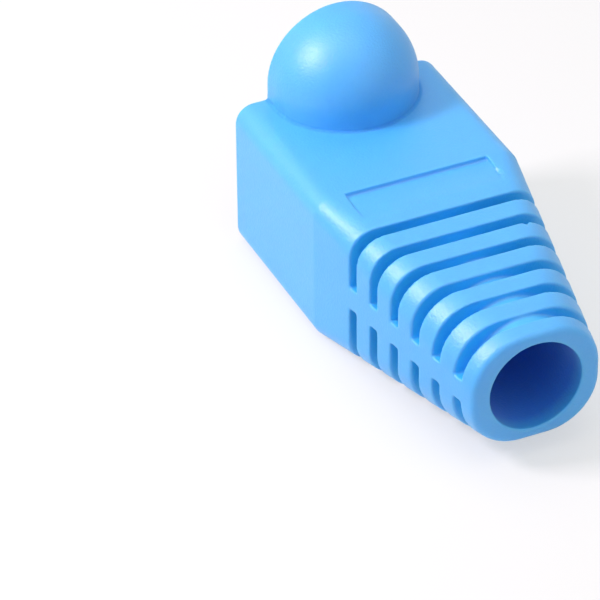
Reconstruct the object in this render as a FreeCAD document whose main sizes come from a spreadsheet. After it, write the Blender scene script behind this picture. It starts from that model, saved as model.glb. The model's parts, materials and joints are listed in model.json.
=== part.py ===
import FreeCAD, Part

import math
import os

import Sketcher

# Snagless strain relief boot for an eight-way modular plug: one soft moulding.
# Millimetres. The mouth that takes the plug faces -Y, the cable leaves along +Y and
# Z is up. The origin is the middle of the footprint, on the flat underside.

DIMENSIONS = (
    # alias, value, what it is
    ("TotalLength", 28.3, "mouth rim to cable end"),
    ("BodyLength", 11.9, "straight box section behind the mouth"),
    ("BodyWidth", 14.0, "outside width of the box section"),
    ("BodyHeight", 10.3, "outside height of the box section"),
    ("BodyCorner", 1.25, "radius of the four long edges of the box"),
    ("RimChamfer", 0.18, "broken outer edge of the mouth rim"),
    ("TipWidth", 8.5, "outside width at the cable end"),
    ("TipTop", 8.9, "top of the cable end above the rest plane"),
    ("TipBottom", 1.27, "underside of the cable end above the rest plane"),
    ("TipCorner", 3.45, "corner radius at the cable end"),
    ("TipRound", 0.45, "rounding of the outer edge of the cable end"),
    ("CableAxis", 5.1, "height of the cable bore axis"),
    ("BoreRadius", 3.12, "cable bore"),
    ("BoreLeadIn", 0.3, "chamfer where the bore meets the plug cavity"),
    ("BoreLip", 0.1, "broken edge of the bore at the cable end"),
    ("CavityWidth", 11.7, "inside width for the plug"),
    ("CavityDepth", 8.7, "mouth rim to the back wall of the cavity"),
    ("CavityFloor", 1.2, "wall under the plug"),
    ("CavityCeiling", 9.38, "height of the underside of the wall over the plug"),
    ("LipHeight", 0.8, "rib across the floor at the mouth, above the floor"),
    ("LipLength", 0.6, "the same rib, along the boot"),
    ("HoodRadius", 4.77, "outside radius of the latch hood"),
    ("HoodWall", 0.56, "wall of the latch hood"),
    ("HoodCentre", 11.42, "height of the centre of the hood arch"),
    ("HoodStraight", 1.4, "length of the arch before the dome begins"),
    ("HoodFoot", 0.12, "fillet between the hood and the box top"),
    ("SlotStart", 15.62, "mouth rim to the first flex slot"),
    ("SlotPitch", 2.133, "spacing of the flex slots"),
    ("SlotWidth", 0.78, "width of one flex slot"),
    ("SlotCount", 6, "flex slots above, and as many below"),
    ("SpineBottom", 4.53, "underside of the side spine"),
    ("SpineTop", 6.09, "top of the side spine"),
    ("SleeveRootRadius", 3.95, "sleeve inside the ribs at the box end"),
    ("SleeveTipRadius", 3.72, "sleeve inside the ribs at the cable end"),
    ("SleeveInset", 0.5, "sleeve end short of the cable end, inside the last collar"),
    ("RecessWidth", 9.74, "label recess, across the boot"),
    ("RecessStart", 11.86, "mouth rim to the first wall of the label recess"),
    ("RecessLength", 2.8, "label recess, along the boot, past where it runs out on the slope"),
    ("RecessDepth", 0.22, "label recess floor below the box top"),
)

doc = FreeCAD.newDocument("StrainReliefBoot")
sheet = doc.addObject("Spreadsheet::Sheet", "dims")
for row, (alias, value, meaning) in enumerate(DIMENSIONS, start=1):
    sheet.set(f"A{row}", alias)
    sheet.set(f"B{row}", str(value))
    sheet.set(f"C{row}", meaning)
    sheet.setAlias(f"B{row}", alias)
doc.recompute()

body = doc.addObject("PartDesign::Body", "boot")
body.Label = "boot"
planes = {item.Role: item for item in body.Origin.OriginFeatures}

# Expressions that several features share. Y is measured from the middle of the boot.
MOUTH = "(-dims.TotalLength / 2)"  # where the rim stands on Y
SLEEVE_LENGTH = "(dims.TotalLength - dims.BodyLength - dims.SleeveInset)"
LIP_TOP = "(dims.CavityFloor + dims.LipHeight)"
HOOD_INSIDE = "(dims.HoodRadius - dims.HoodWall)"

PAST = 2.0  # how far a cutter runs past the surface that it opens
NEAR = 1e-4  # two places closer than this are the same

# Sketcher's numbers for the axes of a sketch and for the ends and centre of an edge
VERTICAL_AXIS = -2
ORIGIN = -1
START = 1
END = 2
CENTRE = 3


def new_sketch(name, role, **offset):
    """A sketch on one of the body's own planes, shifted by expressions for x, y or z."""
    sketch = body.newObject("Sketcher::SketchObject", name)
    sketch.AttachmentSupport = (planes[role], [""])
    sketch.MapMode = "FlatFace"
    for axis, expression in offset.items():
        sketch.setExpression(f"AttachmentOffset.Base.{axis}", expression)
    return sketch


def cross_section(name, from_mouth="0"):
    """A sketch square to the cable: its x is X and its y is Z."""
    return new_sketch(name, "XZ_Plane", z=f"-({MOUTH} + {from_mouth})")


def side_section(name, from_mouth="0", height="0"):
    """A sketch on the plane of symmetry: its x is Y and its y is Z."""
    return new_sketch(name, "YZ_Plane", x=f"{MOUTH} + {from_mouth}", y=height)


def measure(expression):
    """The value that an expression of the sheet has now."""
    return float(sheet.evalExpression(expression.replace("dims.", "")))


def line(sketch, start, end):
    edge = Part.LineSegment(FreeCAD.Vector(*start, 0), FreeCAD.Vector(*end, 0))
    return sketch.addGeometry(edge, False)


def arc(sketch, centre, radius, first, last):
    circle = Part.Circle(FreeCAD.Vector(*centre, 0), FreeCAD.Vector(0, 0, 1), radius)
    edge = Part.ArcOfCircle(circle, math.radians(first), math.radians(last))
    return sketch.addGeometry(edge, False)


def polygon(sketch, points):
    """Straight edges joined end to end and back to the start."""
    edges = [line(sketch, a, b) for a, b in zip(points, points[1:] + points[:1])]
    for edge, following in zip(edges, edges[1:] + edges[:1]):
        rule(sketch, "Coincident", edge, END, following, START)
    return edges


def rule(sketch, kind, *where):
    sketch.addConstraint(Sketcher.Constraint(kind, *where))


def size(sketch, name, kind, *where, to):
    """A named dimension that follows an expression of the sheet."""
    index = sketch.addConstraint(Sketcher.Constraint(kind, *where, measure(to)))
    sketch.renameConstraint(index, name)
    sketch.setExpression(f"Constraints.{name}", to)


def rounded_rectangle(sketch, width, bottom, top, radius):
    """Centred on x = 0, with four equal corners."""
    w = measure(width) / 2
    low = measure(bottom)
    high = measure(top)
    r = measure(radius)
    base = line(sketch, (r - w, low), (w - r, low))
    right = line(sketch, (w, low + r), (w, high - r))
    lid = line(sketch, (w - r, high), (r - w, high))
    left = line(sketch, (-w, high - r), (-w, low + r))
    corners = (
        arc(sketch, (w - r, low + r), r, 270, 360),
        arc(sketch, (w - r, high - r), r, 0, 90),
        arc(sketch, (r - w, high - r), r, 90, 180),
        arc(sketch, (r - w, low + r), r, 180, 270),
    )
    sides = (base, right, lid, left)
    for side, corner, following in zip(sides, corners, sides[1:] + sides[:1]):
        rule(sketch, "Tangent", side, END, corner, START)
        rule(sketch, "Tangent", corner, END, following, START)
    for corner in corners[1:]:
        rule(sketch, "Equal", corners[0], corner)
    rule(sketch, "Vertical", right)
    rule(sketch, "Vertical", left)
    rule(sketch, "Symmetric", base, START, base, END, VERTICAL_AXIS)
    size(sketch, "Width", "DistanceX", left, START, right, END, to=width)
    size(sketch, "Bottom", "DistanceY", ORIGIN, START, base, START, to=bottom)
    size(sketch, "Top", "DistanceY", ORIGIN, START, lid, START, to=top)
    size(sketch, "Corner", "Radius", corners[0], to=radius)


def rectangle(sketch, left, right, bottom, top, prefix=""):
    x0, x1, y0, y1 = (measure(edge) for edge in (left, right, bottom, top))
    base, end, lid, start = polygon(sketch, [(x0, y0), (x1, y0), (x1, y1), (x0, y1)])
    rule(sketch, "Horizontal", base)
    rule(sketch, "Horizontal", lid)
    rule(sketch, "Vertical", start)
    rule(sketch, "Vertical", end)
    size(sketch, prefix + "Left", "DistanceX", ORIGIN, START, base, START, to=left)
    size(sketch, prefix + "Right", "DistanceX", ORIGIN, START, base, END, to=right)
    size(sketch, prefix + "Bottom", "DistanceY", ORIGIN, START, base, START, to=bottom)
    size(sketch, prefix + "Top", "DistanceY", ORIGIN, START, lid, START, to=top)


def arch(sketch, radius, foot, centre):
    """Two upright legs under a half circle."""
    r = measure(radius)
    low = measure(foot)
    mid = measure(centre)
    base = line(sketch, (-r, low), (r, low))
    right = line(sketch, (r, low), (r, mid))
    crown = arc(sketch, (0, mid), r, 0, 180)
    left = line(sketch, (-r, mid), (-r, low))
    rule(sketch, "Coincident", base, END, right, START)
    rule(sketch, "Tangent", right, END, crown, START)
    rule(sketch, "Tangent", crown, END, left, START)
    rule(sketch, "Coincident", left, END, base, START)
    rule(sketch, "Horizontal", base)
    rule(sketch, "Vertical", right)
    rule(sketch, "PointOnObject", crown, CENTRE, VERTICAL_AXIS)
    size(sketch, "Crown", "Radius", crown, to=radius)
    size(sketch, "Foot", "DistanceY", ORIGIN, START, base, START, to=foot)
    size(sketch, "Centre", "DistanceY", ORIGIN, START, crown, CENTRE, to=centre)


def dome_section(sketch, radius, foot, centre):
    """Half of the arch, to be turned about its upright axis."""
    r = measure(radius)
    low = measure(foot)
    mid = measure(centre)
    base = line(sketch, (0, low), (r, low))
    wall = line(sketch, (r, low), (r, mid))
    crown = arc(sketch, (0, mid), r, 0, 90)
    axis = line(sketch, (0, mid + r), (0, low))
    rule(sketch, "Coincident", base, END, wall, START)
    rule(sketch, "Tangent", wall, END, crown, START)
    rule(sketch, "Coincident", crown, END, axis, START)
    rule(sketch, "Coincident", axis, END, base, START)
    rule(sketch, "Horizontal", base)
    rule(sketch, "Vertical", wall)
    rule(sketch, "PointOnObject", axis, END, VERTICAL_AXIS)
    rule(sketch, "PointOnObject", axis, START, VERTICAL_AXIS)
    rule(sketch, "PointOnObject", crown, CENTRE, VERTICAL_AXIS)
    size(sketch, "Crown", "Radius", crown, to=radius)
    size(sketch, "Foot", "DistanceY", ORIGIN, START, base, START, to=foot)
    size(sketch, "Centre", "DistanceY", ORIGIN, START, crown, CENTRE, to=centre)


def feature(kind, name, sketch, **settings):
    """Adds a feature on a sketch and checks that it adds or takes away material."""
    before = body.Shape.Volume if body.Tip else 0.0
    step = body.newObject(f"PartDesign::{kind}", name)
    step.Profile = (sketch, [""])
    for key, setting in settings.items():
        if isinstance(setting, str) and "dims." in setting:
            step.setExpression(key, setting)
        else:
            setattr(step, key, setting)
    sketch.Visibility = False
    doc.recompute()
    change = body.Shape.Volume - before
    wanted = -1 if kind in ("Pocket", "Groove") else 1
    if change * wanted <= 0:
        raise RuntimeError(f"{name} changes the volume by {change:.3f}")
    return step


def dress(kind, name, radius, chosen):
    """A fillet or chamfer on the edges of the latest solid that the test picks."""
    base = body.Tip
    edges = [f"Edge{i}" for i, edge in enumerate(base.Shape.Edges, start=1) if chosen(edge)]
    if not edges:
        raise RuntimeError(f"{name} finds no edge")
    step = body.newObject(f"PartDesign::{kind}", name)
    step.Base = (base, edges)
    step.setExpression("Radius" if kind == "Fillet" else "Size", radius)
    doc.recompute()
    if "Invalid" in step.State or not step.Shape.isValid() or len(step.Shape.Solids) != 1:
        raise RuntimeError(f"{name} fails: {step.getStatusString()}")
    return step


def within(edge, low, high):
    """True where the whole edge lies in the box from low to high."""
    box = edge.BoundBox
    corner = (box.XMin, box.YMin, box.ZMin)
    far = (box.XMax, box.YMax, box.ZMax)
    above = all(a >= b - NEAR for a, b in zip(corner, low))
    below = all(a <= b + NEAR for a, b in zip(far, high))
    return above and below


# the box section, with rounded long edges
box_profile = cross_section("box_profile")
rounded_rectangle(box_profile, "dims.BodyWidth", "0", "dims.BodyHeight", "dims.BodyCorner")
feature("Pad", "box", box_profile, Length="dims.BodyLength", Reversed=True)

# the tail narrows from the box section to a nearly round end
tail_root = cross_section("tail_root", "dims.BodyLength")
rounded_rectangle(tail_root, "dims.BodyWidth", "0", "dims.BodyHeight", "dims.BodyCorner")
tail_tip = cross_section("tail_tip", "dims.TotalLength")
rounded_rectangle(tail_tip, "dims.TipWidth", "dims.TipBottom", "dims.TipTop", "dims.TipCorner")
feature("AdditiveLoft", "tail", tail_root, Sections=[tail_tip], Ruled=True)

# flex slots: one pair of cuts, above and below the side spine, repeated along the tail
slot_profile = side_section("slot_profile", "dims.SlotStart")
rectangle(slot_profile, "0", "dims.SlotWidth", "dims.SpineTop", f"dims.BodyHeight + {PAST}", "Upper")
rectangle(slot_profile, "0", "dims.SlotWidth", f"-{PAST}", "dims.SpineBottom", "Lower")
slot = feature("Pocket", "slot", slot_profile, Type="ThroughAll", Midplane=True)
slots = body.newObject("PartDesign::LinearPattern", "slots")
slots.Originals = [slot]
slots.Direction = (slot_profile, ["H_Axis"])
slots.setExpression("Occurrences", "dims.SlotCount")
slots.setExpression("Length", "(dims.SlotCount - 1) * dims.SlotPitch")
body.Tip = slots
doc.recompute()

# the sleeve that the ribs stand on, a little slimmer towards the cable end
sleeve_profile = side_section("sleeve_profile", "dims.BodyLength", "dims.CableAxis")
root_radius = measure("dims.SleeveRootRadius")
tip_radius = measure("dims.SleeveTipRadius")
reach = measure(SLEEVE_LENGTH)
axis_edge, tip_edge, slope_edge, root_edge = polygon(sleeve_profile, [
    (0, 0), (reach, 0), (reach, tip_radius), (0, root_radius)])
rule(sleeve_profile, "Coincident", axis_edge, START, ORIGIN, START)
rule(sleeve_profile, "Horizontal", axis_edge)
rule(sleeve_profile, "Vertical", tip_edge)
rule(sleeve_profile, "Vertical", root_edge)
size(sleeve_profile, "Reach", "DistanceX", axis_edge, START, axis_edge, END, to=SLEEVE_LENGTH)
size(sleeve_profile, "Tip", "DistanceY", tip_edge, START, tip_edge, END, to="dims.SleeveTipRadius")
size(sleeve_profile, "Root", "DistanceY", root_edge, END, root_edge, START, to="dims.SleeveRootRadius")
feature("Revolution", "sleeve", sleeve_profile, ReferenceAxis=(sleeve_profile, ["H_Axis"]),
        Angle=360.0)

# the latch hood: an arch from the mouth, closed by a quarter ball
hood_profile = cross_section("hood_profile")
arch(hood_profile, "dims.HoodRadius", "dims.BodyHeight - dims.BodyCorner", "dims.HoodCentre")
feature("Pad", "hood_arch", hood_profile, Length="dims.HoodStraight", Reversed=True)
dome_profile = side_section("dome_profile", "dims.HoodStraight")
dome_section(dome_profile, "dims.HoodRadius", "dims.BodyHeight - dims.BodyCorner", "dims.HoodCentre")
feature("Revolution", "hood_dome", dome_profile, ReferenceAxis=(dome_profile, ["V_Axis"]),
        Angle=180.0, Midplane=True)
hood_reach = measure("dims.HoodRadius")
box_top = measure("dims.BodyHeight")
mouth_y = measure(MOUTH)
tip_y = -mouth_y
hood_end = mouth_y + measure("dims.HoodStraight + dims.HoodRadius")
dress("Fillet", "hood_foot", "dims.HoodFoot", lambda edge: edge.BoundBox.YLength > NEAR and within(
    edge, (-hood_reach, mouth_y, box_top), (hood_reach, hood_end, box_top)))

# the outer edges of the mouth rim and of the cable end
wide = measure("dims.BodyWidth")
tall = measure("dims.HoodCentre + dims.HoodRadius")
dress("Chamfer", "rim_chamfer", "dims.RimChamfer", lambda edge: within(
    edge, (-wide, mouth_y, 0), (wide, mouth_y, tall)))
dress("Fillet", "tip_round", "dims.TipRound", lambda edge: within(
    edge, (-wide, tip_y, 0), (wide, tip_y, tall)))

# room for the plug, with a low rib left across the floor at the mouth
cavity_profile = side_section("cavity_profile")
depth = measure("dims.CavityDepth")
floor_level = measure("dims.CavityFloor")
lip_end = measure("dims.LipLength")
lip_level = measure(LIP_TOP)
ceiling_level = measure("dims.CavityCeiling")
bed, back, roof, mouth, lip, rise = polygon(cavity_profile, [
    (lip_end, floor_level), (depth, floor_level), (depth, ceiling_level),
    (-PAST, ceiling_level), (-PAST, lip_level), (lip_end, lip_level)])
for level in (bed, roof, lip):
    rule(cavity_profile, "Horizontal", level)
for upright in (back, mouth, rise):
    rule(cavity_profile, "Vertical", upright)
size(cavity_profile, "Floor", "DistanceY", ORIGIN, START, bed, START, to="dims.CavityFloor")
size(cavity_profile, "LipEnd", "DistanceX", ORIGIN, START, bed, START, to="dims.LipLength")
size(cavity_profile, "Depth", "DistanceX", ORIGIN, START, bed, END, to="dims.CavityDepth")
size(cavity_profile, "Ceiling", "DistanceY", ORIGIN, START, roof, START, to="dims.CavityCeiling")
size(cavity_profile, "Lip", "DistanceY", ORIGIN, START, lip, START, to=LIP_TOP)
size(cavity_profile, "Past", "DistanceX", mouth, START, ORIGIN, START, to=f"{PAST}")
feature("Pocket", "plug_cavity", cavity_profile, Length="dims.CavityWidth", Midplane=True)

# room for the latch under the hood, open to the plug cavity
LATCH_FOOT = f"(dims.CavityCeiling - {PAST})"
latch_profile = cross_section("latch_profile")
arch(latch_profile, HOOD_INSIDE, LATCH_FOOT, "dims.HoodCentre")
feature("Pocket", "latch_arch", latch_profile, Length="dims.HoodStraight")
latch_dome_profile = side_section("latch_dome_profile", "dims.HoodStraight")
dome_section(latch_dome_profile, HOOD_INSIDE, LATCH_FOOT, "dims.HoodCentre")
feature("Groove", "latch_dome", latch_dome_profile, ReferenceAxis=(latch_dome_profile, ["V_Axis"]),
        Angle=180.0, Midplane=True)

# the cable bore, from the cable end into the plug cavity
bore_profile = cross_section("bore_profile", "dims.TotalLength")
bore_centre = FreeCAD.Vector(0, measure("dims.CableAxis"), 0)
bore_outline = Part.Circle(bore_centre, FreeCAD.Vector(0, 0, 1), measure("dims.BoreRadius"))
bore_circle = bore_profile.addGeometry(bore_outline, False)
rule(bore_profile, "PointOnObject", bore_circle, CENTRE, VERTICAL_AXIS)
size(bore_profile, "Radius", "Radius", bore_circle, to="dims.BoreRadius")
size(bore_profile, "Height", "DistanceY", ORIGIN, START, bore_circle, CENTRE, to="dims.CableAxis")
feature("Pocket", "cable_bore", bore_profile, Length="dims.TotalLength - dims.CavityDepth",
        Reversed=True)
back_y = mouth_y + depth
bore_rim = 2 * math.pi * measure("dims.BoreRadius")


def is_bore_edge(edge, y):
    """True for the circle that the bore leaves in the flat face at y."""
    right_length = math.isclose(edge.Length, bore_rim, abs_tol=NEAR)
    return right_length and math.isclose(edge.CenterOfMass.y, y, abs_tol=NEAR)


dress("Chamfer", "bore_lead_in", "dims.BoreLeadIn", lambda edge: is_bore_edge(edge, back_y))
dress("Chamfer", "bore_lip", "dims.BoreLip", lambda edge: is_bore_edge(edge, tip_y))

# the shallow label recess across the bend: its floor is level, so it runs out on the falling tail
recess_profile = new_sketch("recess_profile", "XY_Plane", y=f"{MOUTH} + dims.RecessStart",
                            z="dims.BodyHeight - dims.RecessDepth")
rectangle(recess_profile, "-dims.RecessWidth / 2", "dims.RecessWidth / 2", "0", "dims.RecessLength")
feature("Pocket", "label_recess", recess_profile, Length="dims.RecessDepth + dims.BodyCorner",
        Reversed=True)

doc.recompute()
for item in doc.Objects:
    if {"Invalid", "Error"} & set(item.State):
        raise RuntimeError(f"{item.Name} is {item.State}")
if body.Shape.isNull() or not body.Shape.isValid() or len(body.Shape.Solids) != 1:
    raise RuntimeError("the boot is not one valid solid")
extent = body.Shape.BoundBox
print(f"boot {extent.XLength:.2f} x {extent.YLength:.2f} x {extent.ZLength:.2f} mm,"
      f" {body.Shape.Volume:.1f} mm3, {len(body.Shape.Faces)} faces")

os.makedirs("parts", exist_ok=True)
body.Shape.exportStep(f"parts/{body.Label}.step")
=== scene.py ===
import json
import math

import bmesh
import bpy
from mathutils import Matrix, Quaternion, Vector
from mathutils.bvhtree import BVHTree


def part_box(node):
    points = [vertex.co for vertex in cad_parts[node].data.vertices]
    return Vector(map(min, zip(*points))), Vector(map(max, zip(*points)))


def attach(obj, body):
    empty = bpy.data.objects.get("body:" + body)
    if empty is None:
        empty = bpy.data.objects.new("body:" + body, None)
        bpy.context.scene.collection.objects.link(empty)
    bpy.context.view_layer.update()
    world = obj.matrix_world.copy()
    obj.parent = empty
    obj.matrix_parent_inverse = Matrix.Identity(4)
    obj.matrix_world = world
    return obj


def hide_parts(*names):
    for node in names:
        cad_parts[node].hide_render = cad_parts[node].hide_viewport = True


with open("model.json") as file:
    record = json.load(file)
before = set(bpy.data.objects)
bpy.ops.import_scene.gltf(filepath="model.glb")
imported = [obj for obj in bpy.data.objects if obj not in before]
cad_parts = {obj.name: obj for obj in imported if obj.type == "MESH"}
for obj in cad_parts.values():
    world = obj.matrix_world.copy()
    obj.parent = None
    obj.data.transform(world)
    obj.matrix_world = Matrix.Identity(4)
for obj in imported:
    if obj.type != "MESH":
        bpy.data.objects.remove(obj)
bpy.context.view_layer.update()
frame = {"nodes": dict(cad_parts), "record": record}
print("frame loaded")

mm = 0.001
cadBoot = frame["nodes"]["boot"]
low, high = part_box("boot")
middle = (low + high) / 2
boxHeight = 10.3 * mm
boxTop = low.z + boxHeight  # the flat top, which the latch hood stands on

# the plug cavity and the cable bore, as the record gives them
mounts = {mount["name"]: mount for mount in frame["record"]["mounts"]}
openings = {opening["name"]: opening for opening in frame["record"]["physics"]["openings"]}
boreAxis = Vector(mounts["cable_bore"]["pos_m"])
boreRadius = mounts["cable_bore"]["dims"]["r_mm"] * mm
cavityLow, cavityHigh = (Vector(corner) for corner in openings["plug_seat"]["box_m"])


def deselectAll():
    if bpy.context.mode != "OBJECT":
        bpy.ops.object.mode_set(mode="OBJECT")
    bpy.ops.object.select_all(action="DESELECT")


def takeUp(piece):
    deselectAll()
    piece.select_set(True)
    bpy.context.view_layer.objects.active = piece


def finishWith(piece, kind, **settings):
    takeUp(piece)
    modifier = piece.modifiers.new(kind.title(), kind)
    for key, value in settings.items():
        setattr(modifier, key, value)
    bpy.ops.object.modifier_apply(modifier=modifier.name)


# the one-piece moulding, worked on in millimetres because voxels have a smallest size
moulding = {
    "merge": 0.001 * mm,  # corners this close become one
    "voxel": 0.075,  # fineness of the skin
    "softening": 9,  # passes that round the moulded edges
    "softenBy": 0.5,
    "crispness": 0.9,  # how much of that the recess walls and the hood's foot are spared
    "triangles": 190000,
}


def mouldBoot():
    piece = bpy.data.objects.new("bootMoulding", cadBoot.data.copy())
    bpy.context.scene.collection.objects.link(piece)
    takeUp(piece)
    bpy.ops.object.mode_set(mode="EDIT")
    bpy.ops.mesh.select_all(action="SELECT")
    bpy.ops.mesh.remove_doubles(threshold=moulding["merge"])
    bpy.ops.object.mode_set(mode="OBJECT")
    piece.data.transform(Matrix.Scale(1 / mm, 4))
    deepenRecess(piece)
    sharpenHoodFoot(piece)
    finishWith(piece, "REMESH", mode="VOXEL", voxel_size=moulding["voxel"])
    softenEdges(piece)
    skin = sum(len(face.vertices) - 2 for face in piece.data.polygons)
    if skin > moulding["triangles"]:
        finishWith(piece, "DECIMATE", ratio=moulding["triangles"] / skin)
    raiseBead(piece)
    piece.data.transform(Matrix.Scale(mm, 4))
    for nick in nicks:
        pushSkin(piece, **nick)
    measureInset(piece)
    takeUp(piece)
    bpy.ops.object.shade_smooth()
    return piece


def softenEdges(piece):
    crisp = piece.vertex_groups.new(name="crisp")
    spared = [
        vertex.index
        for vertex in piece.data.vertices
        if nearRecess(vertex.co) or nearHoodFoot(vertex.co)
    ]
    crisp.add(spared, moulding["crispness"], "REPLACE")
    finishWith(
        piece, "SMOOTH",
        factor=moulding["softenBy"],
        iterations=moulding["softening"],
        vertex_group=crisp.name,
        invert_vertex_group=True,
    )


# the skin round the label recess on the bend, in millimetres, where the low walls would be smoothed away
recess = {
    "fromMouth": 11.5,
    "length": 3.2,
    "width": 10.3,
    "below": 0.5,  # how far down from the flat top it is looked for
    "floor": (0.3, 0.1),  # its floor lies between these depths
    "stretch": 0.4,  # from the start as far as this the floor is lowered
    "drop": 0.09,  # by this much
}


def nearRecess(place):
    start = low.y / mm + recess["fromMouth"]
    across = abs(place.x) < recess["width"] / 2
    along = start < place.y < start + recess["length"]
    return across and along and place.z > boxTop / mm - recess["below"]


def deepenRecess(piece):
    corner = low.y / mm + recess["fromMouth"] + recess["stretch"]
    deeper, shallower = recess["floor"]
    for vertex in piece.data.vertices:
        onFloor = boxTop / mm - deeper < vertex.co.z < boxTop / mm - shallower
        if onFloor and nearRecess(vertex.co) and vertex.co.y < corner:
            vertex.co.z -= recess["drop"]


# the latch hood, in millimetres, an arch and then a dome that meet the flat top in a sharp crease
hood = {
    "radius": 4.77,
    "straight": 1.4,
    "centre": 11.42,
    "fillet": 0.13,  # the small rounding that is drawn in to the crease
    "slack": 0.01,
    "spared": 0.35,  # this near the crease the skin stays sharp
}
domeStart = low.y + hood["straight"] * mm
domeCentre = Vector((0, domeStart, low.z + hood["centre"] * mm))


# how far out from the hood's upright wall, and how far past the start of its dome
def fromHoodWall(place):
    behind = max(0, place.y - domeStart / mm)
    return math.hypot(place.x, behind) - hood["radius"], behind


def nearHoodFoot(place):
    outward = fromHoodWall(place)[0]
    return abs(outward) < hood["spared"] and abs(place.z - boxTop / mm) < hood["spared"]


def sharpenHoodFoot(piece):
    for vertex in piece.data.vertices:
        outward, behind = fromHoodWall(vertex.co)
        above = vertex.co.z - boxTop / mm
        if -hood["slack"] < min(outward, above) and max(outward, above) < hood["fillet"]:
            inwards = hood["radius"] / (hood["radius"] + outward)
            vertex.co.x *= inwards
            vertex.co.y -= behind * (1 - inwards)
            vertex.co.z = boxTop / mm


# the thin bead round the open end of the bore, in millimetres
bead = {"width": 0.34, "depth": 0.34, "drawnIn": 0.11, "raised": 0.03}


def raiseBead(piece):
    axis = boreAxis.z / mm
    for vertex in piece.data.vertices:
        radius = math.hypot(vertex.co.x, vertex.co.z - axis)
        outward = abs(radius - boreRadius / mm) / bead["width"]
        inward = (high.y / mm - vertex.co.y) / bead["depth"]
        if outward < 1 and inward < 1:
            share = (1 - outward) * (1 - inward)
            narrowing = 1 - bead["drawnIn"] * share / radius
            vertex.co.x *= narrowing
            vertex.co.z = axis + (vertex.co.z - axis) * narrowing
            vertex.co.y += bead["raised"] * share


# small faults left by the mould: where, how wide, and how far the skin is pushed
nicks = (
    {
        "at": Vector((-4.15, 4.40, 9.70)) * mm,
        "reach": 0.30 * mm,
        "push": Vector((0, 0.14, -0.10)) * mm,
    },
    {
        "at": Vector((-4.84, -0.75, 10.16)) * mm,
        "reach": 0.22 * mm,
        "push": Vector((0.02, 0, -0.13)) * mm,
    },
    {
        "at": Vector((-4.90, -0.42, 10.12)) * mm,
        "reach": 0.26 * mm,
        "push": Vector((0.04, 0, -0.11)) * mm,
    },
)


def pushSkin(piece, at, reach, push):
    for vertex in piece.data.vertices:
        nearness = 1 - (vertex.co - at).length / reach
        if nearness > 0:
            vertex.co += push * nearness * nearness * (3 - 2 * nearness)


# the ribbed tail, from just short of its first flex slot, with a sleeve inside the ribs
tail = {
    "start": low.y + 14.6 * mm,
    "sleeve": 4.05 * mm,
    "sleeveInset": 0.15 * mm,  # the sleeve counts as no deeper than this
}


# how far each point of the tail lies below its outer skin, nothing on top of the ribs and more in the
# slots; the slots are painted with shade by this depth
def measureInset(piece):
    outline = bmesh.new()
    for vertex in piece.data.vertices:
        if vertex.co.y > tail["start"]:
            outline.verts.new(vertex.co)
    bmesh.ops.convex_hull(outline, input=outline.verts)
    skin = BVHTree.FromBMesh(outline)
    outline.free()
    inset = piece.data.attributes.new("inset", "FLOAT", "POINT")
    for vertex in piece.data.vertices:
        if vertex.co.y > tail["start"]:
            depth = skin.find_nearest(vertex.co)[3]
            if math.hypot(vertex.co.x, vertex.co.z - boreAxis.z) < tail["sleeve"]:
                depth = min(depth, tail["sleeveInset"])
            inset.data[vertex.index].value = depth


def ramp(nodes, links, value, start, end):
    node = nodes.new("ShaderNodeMapRange")
    node.interpolation_type = "SMOOTHSTEP"
    node.inputs["From Min"].default_value = start
    node.inputs["From Max"].default_value = end
    links.new(value, node.inputs["Value"])
    return node.outputs["Result"]


def combine(nodes, links, operation, first, *others):
    for other in others:
        node = nodes.new("ShaderNodeMath")
        node.operation = operation
        links.new(first, node.inputs[0])
        links.new(other, node.inputs[1])
        first = node.outputs[0]
    return first


def vectorMath(nodes, links, operation, place, operand):
    node = nodes.new("ShaderNodeVectorMath")
    node.operation = operation
    node.inputs[1].default_value = operand
    links.new(place, node.inputs[0])
    return node.outputs["Vector"]


def lengthOf(nodes, links, place):
    node = nodes.new("ShaderNodeVectorMath")
    node.operation = "LENGTH"
    links.new(place, node.inputs[0])
    return node.outputs["Value"]


def tinted(nodes, links, colour, tint, share):
    node = nodes.new("ShaderNodeMix")
    node.data_type = "RGBA"
    node.inputs["B"].default_value = tint
    links.new(colour, node.inputs["A"])
    links.new(share, node.inputs["Factor"])
    return node.outputs["Result"]


# each painted shade, and the dulling of the crease and the hollows, is missing at the first distance of its
# pair and full at the second
fades = {
    "slot": (0.03 * mm, 0.28 * mm),  # below the outer skin
    "crease": (0.30 * mm, 0.08 * mm),  # from the corner at the hood's foot
    "bore": (0.45 * mm, 0.20 * mm),  # outside the bore's wall
    "boreBack": (0.40 * mm, 0.10 * mm),  # short of the cavity's back wall
    "side": (0.60 * mm, 0.30 * mm),  # past the cavity's walls
    "floor": (0.60 * mm, 0.30 * mm),
    "roof": (0.55 * mm, 0.25 * mm),
    "back": (0.60 * mm, 0.30 * mm),
}
hollowReach = 1.4 * mm  # how far in from an open end the painted shade of the bore or the cavity is full
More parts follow.
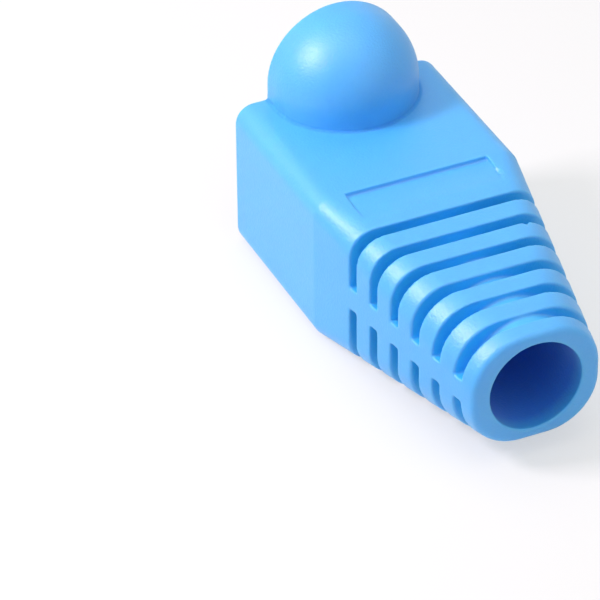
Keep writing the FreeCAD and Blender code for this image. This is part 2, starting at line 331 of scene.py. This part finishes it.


# 0 on the outer skin, rising to 1 deep in the bore and in the cavity, where shade is painted in and the
# roughness dulled
def hollowMask(nodes, links, place):
    along = nodes.new("ShaderNodeSeparateXYZ")
    links.new(place, along.inputs[0])
    x, y, z = along.outputs

    fromAxis = vectorMath(nodes, links, "SUBTRACT", place, boreAxis)
    radius = lengthOf(nodes, links, vectorMath(nodes, links, "MULTIPLY", fromAxis, (1, 0, 1)))
    none, full = fades["bore"]
    nearBore = ramp(nodes, links, radius, boreRadius + none, boreRadius + full)
    downBore = ramp(nodes, links, y, high.y, high.y - hollowReach)
    none, full = fades["boreBack"]
    pastBack = ramp(nodes, links, y, cavityHigh.y - none, cavityHigh.y - full)

    sideways = nodes.new("ShaderNodeMath")
    sideways.operation = "ABSOLUTE"
    links.new(x, sideways.inputs[0])
    none, full = fades["side"]
    between = ramp(nodes, links, sideways.outputs[0], cavityHigh.x + none, cavityHigh.x + full)
    none, full = fades["floor"]
    aboveFloor = ramp(nodes, links, z, cavityLow.z - none, cavityLow.z - full)
    none, full = fades["roof"]
    underRoof = ramp(nodes, links, z, cavityHigh.z + none, cavityHigh.z + full)
    pastMouth = ramp(nodes, links, y, low.y, low.y + hollowReach)
    none, full = fades["back"]
    beforeBack = ramp(nodes, links, y, cavityHigh.y + none, cavityHigh.y + full)

    bore = combine(nodes, links, "MULTIPLY", nearBore, downBore, pastBack)
    cavity = combine(nodes, links, "MULTIPLY", between, aboveFloor, underRoof, pastMouth, beforeBack)
    return combine(nodes, links, "MAXIMUM", bore, cavity)


# 1 in the corner between the latch hood and the flat top, where shade is painted in and the roughness
# dulled
def footMask(nodes, links, place):
    fromDome = vectorMath(nodes, links, "SUBTRACT", place, (0, domeStart, boxTop))
    # the straight part of the arch is measured from its own axis
    behind = vectorMath(nodes, links, "MAXIMUM", fromDome, (-1, 0, -1))
    radius = lengthOf(nodes, links, vectorMath(nodes, links, "MULTIPLY", behind, (1, 1, 0)))
    outward = nodes.new("ShaderNodeMath")
    outward.operation = "SUBTRACT"
    outward.inputs[1].default_value = hood["radius"] * mm
    links.new(radius, outward.inputs[0])

    above = nodes.new("ShaderNodeSeparateXYZ")
    links.new(fromDome, above.inputs[0])
    across = nodes.new("ShaderNodeCombineXYZ")
    links.new(outward.outputs[0], across.inputs["X"])
    links.new(above.outputs["Z"], across.inputs["Y"])
    return ramp(nodes, links, lengthOf(nodes, links, across.outputs[0]), *fades["crease"])


# satin sky-blue soft PVC
pvc = {
    "pale": (0.050, 0.440, 0.90, 1),
    "deep": (0.042, 0.405, 0.86, 1),
    "crease": (0.034, 0.36, 0.84, 1),  # painted shade in the corner at the hood's foot
    "slot": (0.014, 0.49, 0.87, 1),  # painted shade and bounced light down in the flex slots
    "hollowShade": (0.004, 0.235, 0.80, 1),  # painted shade down the bore and in the cavity
    "roughness": (0.40, 0.54),
    "dullRoughness": 0.95,  # in the crease and the hollows
    "ior": 1.54,
    "sparkle": 1.0,  # specular level
    "sheen": 0.12,
    "sheenRoughness": 0.5,
    "grain": 6500.0,  # fine sparkle, per metre
    "grainDetail": 2,
    "grainDepth": 0.026 * mm,
    "cloud": 220.0,  # slow drift of tone, per metre
    "cloudDetail": 3,
    "translucency": 0.6,
    "softness": 0.8 * mm,  # how far light spreads under the skin
    "scatter": (0.35, 0.75, 1.0),  # the share of that in red, green and blue
}


def noise(nodes, links, place, scale, detail):
    node = nodes.new("ShaderNodeTexNoise")
    node.inputs["Scale"].default_value = scale
    node.inputs["Detail"].default_value = detail
    links.new(place, node.inputs["Vector"])
    return node.outputs["Fac"]


def pvcMaterial():
    material = bpy.data.materials.new("satinPvc")
    material.use_nodes = True
    nodes = material.node_tree.nodes
    links = material.node_tree.links
    shader = nodes["Principled BSDF"]
    place = nodes.new("ShaderNodeTexCoord").outputs["Object"]

    tone = nodes.new("ShaderNodeMix")
    tone.data_type = "RGBA"
    tone.inputs["A"].default_value = pvc["deep"]
    tone.inputs["B"].default_value = pvc["pale"]
    cloud = noise(nodes, links, place, pvc["cloud"], pvc["cloudDetail"])
    links.new(cloud, tone.inputs["Factor"])

    # the slots are painted with shade and bounced light by their depth below the skin
    inset = nodes.new("ShaderNodeAttribute")
    inset.attribute_name = "inset"
    slotShadeShare = ramp(nodes, links, inset.outputs["Fac"], *fades["slot"])
    slotShaded = tinted(nodes, links, tone.outputs["Result"], pvc["slot"], slotShadeShare)
    # the bore and the cavity are painted with shade, and the same mask dulls their roughness
    inside = hollowMask(nodes, links, place)
    hollowShaded = tinted(nodes, links, slotShaded, pvc["hollowShade"], inside)
    # the corner at the hood's foot is painted with shade, and the same mask dulls its roughness
    crease = footMask(nodes, links, place)
    creaseShaded = tinted(nodes, links, hollowShaded, pvc["crease"], crease)
    links.new(creaseShaded, shader.inputs["Base Color"])

    grain = noise(nodes, links, place, pvc["grain"], pvc["grainDetail"])
    gloss = nodes.new("ShaderNodeMapRange")
    gloss.inputs["To Min"].default_value = pvc["roughness"][0]
    gloss.inputs["To Max"].default_value = pvc["roughness"][1]
    links.new(grain, gloss.inputs["Value"])
    dulled = nodes.new("ShaderNodeMapRange")
    dulled.inputs["To Max"].default_value = pvc["dullRoughness"]
    links.new(combine(nodes, links, "MAXIMUM", crease, inside), dulled.inputs["Value"])
    links.new(gloss.outputs["Result"], dulled.inputs["To Min"])
    links.new(dulled.outputs["Result"], shader.inputs["Roughness"])

    bump = nodes.new("ShaderNodeBump")
    bump.inputs["Distance"].default_value = pvc["grainDepth"]
    links.new(grain, bump.inputs["Height"])
    links.new(bump.outputs["Normal"], shader.inputs["Normal"])

    shader.inputs["IOR"].default_value = pvc["ior"]
    shader.inputs["Specular IOR Level"].default_value = pvc["sparkle"]
    shader.inputs["Sheen Weight"].default_value = pvc["sheen"]
    shader.inputs["Sheen Roughness"].default_value = pvc["sheenRoughness"]
    shader.inputs["Subsurface Weight"].default_value = pvc["translucency"]
    shader.inputs["Subsurface Scale"].default_value = pvc["softness"]
    shader.inputs["Subsurface Radius"].default_value = pvc["scatter"]
    return material


# 1 for what the camera sees, straight, mirrored or through something clear
def seenRay(nodes, links):
    path = nodes.new("ShaderNodeLightPath")
    rays = ("Is Camera Ray", "Is Glossy Ray", "Is Transmission Ray")
    return combine(nodes, links, "MAXIMUM", *(path.outputs[ray] for ray in rays))


# the pale ground, which glows a little where it is seen and still takes the boot's shadow
floor = {"side": 2.0, "colour": (0.82, 0.82, 0.82, 1), "glow": 1.0, "glowShare": 0.55}


def floorMaterial():
    material = bpy.data.materials.new("paleFloor")
    material.use_nodes = True
    nodes = material.node_tree.nodes
    links = material.node_tree.links
    nodes.remove(nodes["Principled BSDF"])
    cloth = nodes.new("ShaderNodeBsdfDiffuse")
    cloth.inputs["Color"].default_value = floor["colour"]
    glow = nodes.new("ShaderNodeEmission")
    glow.inputs["Strength"].default_value = floor["glow"]
    share = nodes.new("ShaderNodeMath")
    share.operation = "MULTIPLY"
    share.inputs[1].default_value = floor["glowShare"]
    links.new(seenRay(nodes, links), share.inputs[0])
    mix = nodes.new("ShaderNodeMixShader")
    links.new(share.outputs[0], mix.inputs[0])
    links.new(cloth.outputs[0], mix.inputs[1])
    links.new(glow.outputs[0], mix.inputs[2])
    links.new(mix.outputs[0], nodes["Material Output"].inputs["Surface"])
    return material


def layFloor():
    bpy.ops.mesh.primitive_plane_add(size=floor["side"], location=(0, 0, low.z))
    ground = bpy.context.active_object
    ground.name = "floor"
    ground.data.materials.append(floorMaterial())


# the light of the surroundings, weakest at the horizon, and plain white where they are seen
surroundings = {"horizon": 0.12, "zenith": 0.60, "seen": 1.0, "colour": (1, 1, 1, 1)}

# soft lamps, each aimed at a target from a direction
lamps = {
    "keyLamp": {
        "target": domeCentre,
        "direction": (0.723, -0.143, 0.677),
        "distance": 140 * mm,
        "side": 38 * mm,
        "radiance": 38.0,
        "colour": (1.0, 0.89, 0.95),
    },
    "topLamp": {
        "target": middle,
        "direction": (0.1, -0.1, 1.0),
        "distance": 260 * mm,
        "side": 220 * mm,
        "radiance": 1.2,
        "colour": (1, 1, 1),
    },
    "fillLamp": {
        "target": middle,
        "direction": (-0.25, 0.62, 0.74),
        "distance": 260 * mm,
        "side": 300 * mm,
        "radiance": 0.44,
        "colour": (1, 1, 1),
    },
}


def softbox(name, target, direction, distance, side, radiance, colour):
    lamp = bpy.data.lights.new(name, "AREA")
    lamp.shape = "SQUARE"
    lamp.color = colour
    lamp.size = side
    lamp.energy = radiance * math.pi * side ** 2
    holder = bpy.data.objects.new(name, lamp)
    bpy.context.scene.collection.objects.link(holder)
    away = Vector(direction).normalized()
    holder.location = target + away * distance
    holder.rotation_mode = "QUATERNION"
    holder.rotation_quaternion = away.to_track_quat("Z", "Y")


def lightSurroundings():
    world = bpy.data.worlds.new("studio")
    bpy.context.scene.world = world
    world.use_nodes = True
    nodes = world.node_tree.nodes
    links = world.node_tree.links
    sky = nodes["Background"]
    direction = nodes.new("ShaderNodeTexCoord")
    upwards = nodes.new("ShaderNodeSeparateXYZ")
    links.new(direction.outputs["Generated"], upwards.inputs[0])
    height = nodes.new("ShaderNodeMapRange")
    height.inputs["To Min"].default_value = surroundings["horizon"]
    height.inputs["To Max"].default_value = surroundings["zenith"]
    links.new(upwards.outputs["Z"], height.inputs["Value"])
    strength = nodes.new("ShaderNodeMapRange")
    strength.inputs["To Max"].default_value = surroundings["seen"]
    links.new(seenRay(nodes, links), strength.inputs["Value"])
    links.new(height.outputs["Result"], strength.inputs["To Min"])
    sky.inputs["Color"].default_value = surroundings["colour"]
    links.new(strength.outputs["Result"], sky.inputs["Strength"])


# the view, through an unshifted lens
view = {
    "azimuth": 155.64,
    "elevation": 35.641,
    "roll": -0.648,
    "lens": 263.62,
    "sensor": 36,
    "distance": 274.87 * mm,
    "aim": Vector((6.99, -4.4, 1.57)) * mm,
    "nearest": 10 * mm,
    "farthest": 10,
}


def placeCamera():
    azimuth = math.radians(view["azimuth"])
    elevation = math.radians(view["elevation"])
    back = Vector((
        math.sin(azimuth) * math.cos(elevation),
        -math.cos(azimuth) * math.cos(elevation),
        math.sin(elevation),
    ))
    lens = bpy.data.cameras.new("camera")
    lens.lens = view["lens"]
    lens.sensor_width = view["sensor"]
    lens.clip_start = view["nearest"]
    lens.clip_end = view["farthest"]
    holder = bpy.data.objects.new("camera", lens)
    bpy.context.scene.collection.objects.link(holder)
    level = back.to_track_quat("Z", "Y")
    holder.rotation_mode = "QUATERNION"
    holder.rotation_quaternion = Quaternion(back, math.radians(view["roll"])) @ level
    holder.location = view["aim"] + back * view["distance"]
    bpy.context.scene.camera = holder


bpy.context.scene.view_settings.view_transform = "Standard"
placeCamera()
lightSurroundings()
for name, lamp in lamps.items():
    softbox(name, **lamp)
layFloor()
print("studio set")

boot = mouldBoot()
boot.data.materials.clear()
boot.data.materials.append(pvcMaterial())
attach(boot, "root")
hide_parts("boot")
print("boot moulded,", len(boot.data.polygons), "faces")

deselectAll()
